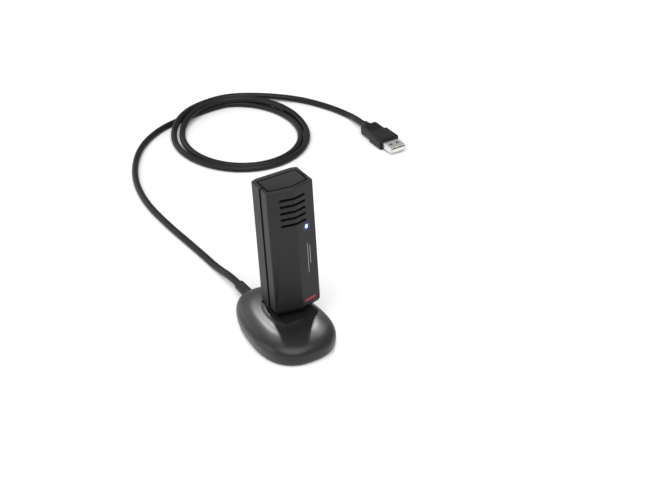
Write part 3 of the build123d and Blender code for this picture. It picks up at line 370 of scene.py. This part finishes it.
# corners of the top plate, anticlockwise, and the thin strip of painted shade laid round it along the gap
# at its edge
PLATE_CORNERS = [
    (-0.0029, 0.0114), (-0.0029, -0.0015), (0.0103, -0.0039), (0.0215, -0.0015), (0.0215, 0.0114),
]
SHADE_STRIP_WIDE = 0.00075
SHADE_STRIP_HEIGHT = 0.09753
# painted shade: a flat black strip down each side, laid over the groove where the two shells meet
SEAM_WIDE = 0.0022
SEAM_LONG = 0.0790
SEAM_Y = 0.0039
SEAM_Z = 0.0575
# finger ribs across both broad faces of the lead's plug
PLUG_X = 0.1745
PLUG_Z = 0.0042
RIB_SIZE = (0.0090, 0.0008, 0.0005)
RIB_EDGE = 0.00015
RIB_COUNT = 6
RIB_FIRST_Y = 0.1785
RIB_PITCH = 0.0017
RIB_OUT = 0.0035


def facet_place(across, height):
    """A point on the right-hand front facet, from the adapter's middle and bottom."""
    depth = RIDGE_DEEP - (across - RIDGE_X) * math.tan(FACET_TURN)
    return (ADAPTER_X + across, ADAPTER_Y - depth, ADAPTER_BOTTOM + height)


def add_marks(made):
    """Plain printed marks on the front, and blank labels."""
    for name, (finish, wide, high, across, height) in FRONT_MARKS.items():
        size = (wide, PRINT_THICK, high)
        place = facet_place(across, height)
        add_block(name, size, place, FACET_TURN, "adapter", finish, made, PRINT_EDGE)
    for name, (body, size, place) in LABELS.items():
        add_block(name, size, place, 0, body, "label_silver", made, LABEL_EDGE)


def add_groove_shade(made):
    """Painted shade: thin black strips round the top plate and over the seam groove down each side."""
    plate_corners = [Vector(corner) for corner in PLATE_CORNERS]
    for start, end in zip(plate_corners, plate_corners[1:] + plate_corners[:1]):
        run = end - start
        turn = math.atan2(run.y, run.x)
        outward = Vector((run.y, -run.x)).normalized()
        middle = (start + end) / 2 + outward * SHADE_STRIP_WIDE / 2
        size = (run.length + SHADE_STRIP_WIDE, SHADE_STRIP_WIDE, PRINT_THICK)
        place = (middle.x, middle.y, SHADE_STRIP_HEIGHT)
        # painted shade along each edge of the top plate
        add_block("top_groove_shade", size, place, turn, "adapter", "groove_shade_black", made, PRINT_EDGE)
    for side_x in (ADAPTER_X - ADAPTER_HALF_WIDE, ADAPTER_X + ADAPTER_HALF_WIDE):
        size = (2 * PRINT_THICK, SEAM_WIDE, SEAM_LONG)
        place = (side_x, SEAM_Y, SEAM_Z)
        # painted shade over the seam groove on this side
        add_block("side_groove_shade", size, place, 0, "adapter", "groove_shade_black", made, PRINT_EDGE)


def add_ribs(made):
    """Finger ribs on the lead's plug."""
    for step in range(RIB_COUNT):
        rib_y = RIB_FIRST_Y + RIB_PITCH * step
        for side in (-1, 1):
            place = (PLUG_X, rib_y, PLUG_Z + side * RIB_OUT)
            add_block("plug_rib", RIB_SIZE, place, 0, "dock", "grip_black", made, RIB_EDGE)


# --- lead ---------------------------------------------------------------------------

CORD_DIAMETER = 0.0045
CORD_EXIT = Vector((-0.0026, 0.0515, 0.0063))
# how finely the lead is drawn round and along
CORD_ROUND_STEPS = 8
CORD_RUN_STEPS = 10
# height of its middle where it lies on the table, and where it lies on another turn
CORD_CLEAR = 0.00001
TABLE_Z = CORD_DIAMETER / 2 + CORD_CLEAR
UPPER_Z = TABLE_Z + CORD_DIAMETER
# from the boot to the coil, and from the coil to the plug
LEAD_IN_ROUTE = [
    CORD_EXIT,
    (-0.0026, 0.0630, 0.0063),
    (-0.0029, 0.0820, 0.0026),
    (-0.0035, 0.1080, TABLE_Z),
    (-0.0063, 0.1518, TABLE_Z),
    (-0.0060, 0.1898, TABLE_Z),
    (0.0027, 0.2276, TABLE_Z),
    (0.0223, 0.2623, TABLE_Z),
    (0.0465, 0.2815, TABLE_Z),
    (0.0700, 0.2880, TABLE_Z),
]
LEAD_OUT_ROUTE = [
    (0.0998, 0.2949, UPPER_Z),
    (0.1125, 0.2926, UPPER_Z),
    (0.1238, 0.2875, 0.0062),
    (0.1335, 0.2830, 0.0050),
    (0.1430, 0.2775, 0.0038),
    (0.1530, 0.2690, 0.0028),
    (0.1610, 0.2590, TABLE_Z),
    (0.1700, 0.2390, TABLE_Z),
    (0.1756, 0.2170, TABLE_Z),
    (PLUG_X, 0.2040, PLUG_Z),
    (PLUG_X, 0.1950, PLUG_Z),
]
# the coil's ellipse, and the angles in degrees between which the lead follows it
COIL_CENTRE = Vector((0.0943, 0.2398))
COIL_HALF = Vector((0.0432, 0.0533))
COIL_STEP = 15
COIL_FIRST = 75
COIL_LAST = -622
# degrees round the coil, and how far outside that ellipse the lead lies there
COIL_SPREAD = [
    (0, 0.0), (22, -0.0004), (60, -0.0009), (105, -0.0006), (220, -0.0003), (250, -0.0011),
    (275, -0.0019), (292, -0.0023), (307, -0.0030), (322, -0.0040), (337, -0.0035),
    (352, -0.0027), (367, -0.0012), (382, -0.0002), (412, 0.0012), (430, 0.0034),
    (450, 0.0043), (520, 0.0043), (580, 0.0045), (610, 0.0047), (635, 0.0046),
    (652, 0.0037), (667, 0.0023), (682, 0.0010), (697, 0.0014),
]
# degrees round the coil, and how high the lead is lifted where it passes over itself
COIL_RISE = [
    (0, 0.0), (285, 0.0), (307, 0.0027), (322, 0.0045), (352, 0.0044), (412, 0.0044),
    (430, 0.0023), (450, 0.0), (640, 0.0), (652, 0.0020), (667, 0.0045), (697, 0.0045),
]


def between(table, value):
    """Reads a value off a table of (place, amount), straight between its rows."""
    for (low, first), (high, second) in zip(table, table[1:]):
        if value <= high:
            return first + (second - first) * (value - low) / (high - low)
    return table[-1][1]


def coil_points():
    """Nearly two loose turns, clockwise from above; after one it climbs over its start and lies outside."""
    points = []
    for angle in range(COIL_FIRST, COIL_LAST, -COIL_STEP):
        turned = COIL_FIRST - angle
        spread = between(COIL_SPREAD, turned)
        half = COIL_HALF + Vector((spread, spread))
        radians = math.radians(angle)
        points.append((
            COIL_CENTRE.x + half.x * math.cos(radians),
            COIL_CENTRE.y + half.y * math.sin(radians),
            TABLE_Z + between(COIL_RISE, turned),
        ))
    return points


def add_cord(made):
    """The whole lead as one soft line, from the dock's boot to its plug."""
    data = bpy.data.curves.new("lead", "CURVE")
    data.dimensions = "3D"
    data.bevel_depth = CORD_DIAMETER / 2
    data.bevel_resolution = CORD_ROUND_STEPS
    data.resolution_u = CORD_RUN_STEPS
    data.use_fill_caps = True
    points = [*LEAD_IN_ROUTE, *coil_points(), *LEAD_OUT_ROUTE]
    spline = data.splines.new("NURBS")
    spline.points.add(len(points) - 1)
    for point, place in zip(spline.points, points):
        point.co = (*place, 1)
    spline.order_u = 3
    spline.use_endpoint_u = True
    lead = bpy.data.objects.new("lead", data)
    bpy.context.scene.collection.objects.link(lead)
    data.materials.append(made["cord_black"])
    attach(lead, "dock")
    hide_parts("cord_lead_in", "cord_coil", "cord_lead_out")


# --- room ---------------------------------------------------------------------------

FLOOR_SIZE = 8
FLOOR_COLOUR = (0.85, 0.85, 0.85)
FLOOR_ROUGHNESS = 0.6
# soft lamps: place, target, width in metres, power in watts
LAMPS = {
    "ceiling": ((-0.7, -1.1, 2.3), (0.0, 0.05, 0.0), 3.0, 95),
    "left": ((-1.5, 0.5, 0.5), (0.0, 0.0, 0.05), 0.9, 7),
    "rim": ((-0.45, 1.5, 0.55), (-0.02, 0.0, 0.01), 0.8, 3.5),
}
# narrow lamps that put a soft gleam on the dock: place, target, cone in degrees, power
SPOTS = {
    "left_gleam": ((0.208, 1.063, 1.038), (-0.011, -0.012, 0.015), 2.6, 60),
    "right_gleam": ((0.725, 0.828, 1.018), (0.008, -0.026, 0.014), 2.4, 62),
}
SPOT_RADIUS = 0.03
SPOT_BLEND = 0.6
SURROUND_STRENGTH = 0.5


def add_floor():
    """A plain white table top."""
    bpy.ops.mesh.primitive_plane_add(size=FLOOR_SIZE, location=(0, 0, 0))
    floor = bpy.context.object
    floor.name = "floor"
    floor.data.materials.append(new_material("floor", FLOOR_COLOUR, FLOOR_ROUGHNESS))


def place_light(name, data, place, target):
    """Puts a light in the scene, aimed at a point."""
    light = bpy.data.objects.new(name, data)
    bpy.context.scene.collection.objects.link(light)
    light.location = place
    aim = Vector(target) - Vector(place)
    light.rotation_euler = aim.to_track_quat("-Z", "Y").to_euler()


def add_lights():
    """A broad ceiling, a low left fill, a rim light, two gleams and a white surround."""
    for name, (place, target, width, power) in LAMPS.items():
        data = bpy.data.lights.new(name, "AREA")
        data.size = width
        data.energy = power
        place_light(name, data, place, target)
    for name, (place, target, cone, power) in SPOTS.items():
        data = bpy.data.lights.new(name, "SPOT")
        data.spot_size = math.radians(cone)
        data.spot_blend = SPOT_BLEND
        data.shadow_soft_size = SPOT_RADIUS
        data.energy = power
        place_light(name, data, place, target)
    world = bpy.data.worlds.new("world")
    world.use_nodes = True
    surround = world.node_tree.nodes["Background"]
    surround.inputs["Color"].default_value = (1, 1, 1, 1)
    surround.inputs["Strength"].default_value = SURROUND_STRENGTH
    bpy.context.scene.world = world
    bpy.context.scene.view_settings.view_transform = "Standard"


add_camera()
finishes = make_materials()
paint_nodes(finishes)
soften_edges()
add_marks(finishes)
add_groove_shade(finishes)
add_ribs(finishes)
add_cord(finishes)
add_floor()
add_lights()
